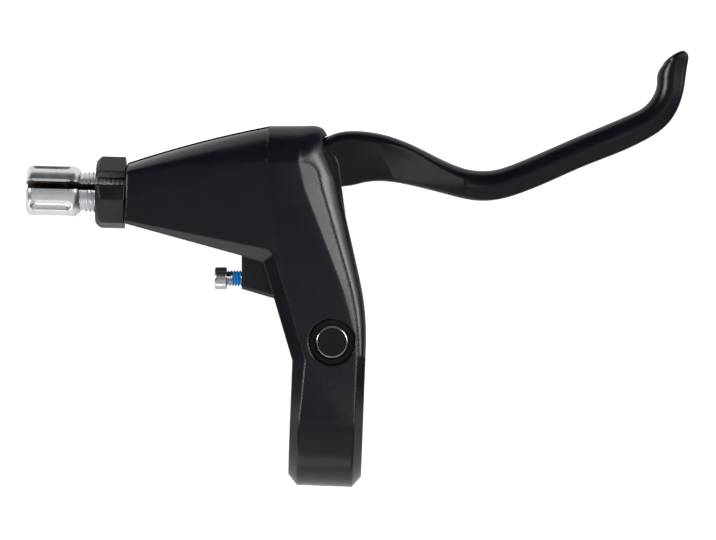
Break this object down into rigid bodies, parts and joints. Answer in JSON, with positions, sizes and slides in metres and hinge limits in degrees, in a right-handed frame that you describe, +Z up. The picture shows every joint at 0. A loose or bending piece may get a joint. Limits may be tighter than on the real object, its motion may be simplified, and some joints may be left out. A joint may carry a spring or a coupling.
{
  "type": "bicycle brake lever",
  "caption": "Right-hand brake lever for a flat handlebar: cast bracket with bar clamp and cable arm, pivoting finger blade, slotted barrel adjuster with lock ring, and reach screw.",
  "frame": {"origin": "middle of the handlebar clamp, on the axis of the bar", "axes": "+X along the bar towards its end, +Y forward, +Z up"},
  "size_m": [0.1612, 0.1105, 0.0398],
  "materials": {
    "bracket_paint": "satin black paint on cast aluminium",
    "blade_paint": "satin black paint on forged aluminium",
    "pivot_steel": "blackened steel",
    "black_plastic": "moulded, fine grain",
    "bush_plastic": "moulded, smooth",
    "plain_steel": "zinc plated",
    "spring_steel": "drawn wire",
    "barrel_aluminium": "turned and polished"
  },
  "bodies": {
    "bracket": {"bracket_body": "bracket_paint", "pivot_axle": "pivot_steel", "pivot_collar": "black_plastic", "pivot_clip": "plain_steel", "return_spring": "spring_steel", "clamp_bolt": "plain_steel", "clamp_nut": "plain_steel"},
    "blade": {"lever_blade": "blade_paint", "pivot_bush_upper": "bush_plastic", "pivot_bush_lower": "bush_plastic"},
    "barrel": {"adjuster_barrel": "barrel_aluminium"},
    "lock_ring": {"adjuster_lock_ring": "black_plastic"},
    "reach": {"reach_screw": "plain_steel"}
  },
  "joints": [
    {"name": "blade_pull", "type": "hinge", "parent": "bracket", "child": "blade", "pos_m": [0.0006, 0.0204, 0], "axis": [0, 0, -1], "range_deg": [0, 36], "stiffness_Nm_per_rad": 0.15, "springref_deg": -17.19},
    {"name": "barrel_turn", "type": "hinge", "parent": "bracket", "child": "barrel", "pos_m": [-0.05122, 0.05487, 0], "axis": [-0.9999, -0.0122, 0], "range_deg": [-1350, 2070]},
    {"name": "lock_ring_turn", "type": "hinge", "parent": "bracket", "child": "lock_ring", "pos_m": [-0.05122, 0.05487, 0], "axis": [-0.9999, -0.0122, 0], "range_deg": [0, 1350]},
    {"name": "reach_screw_turn", "type": "hinge", "parent": "bracket", "child": "reach", "pos_m": [0.00001, 0.03589, 0], "axis": [-0.9993, -0.0384, 0], "range_deg": [-1530, 1710]}
  ]
}
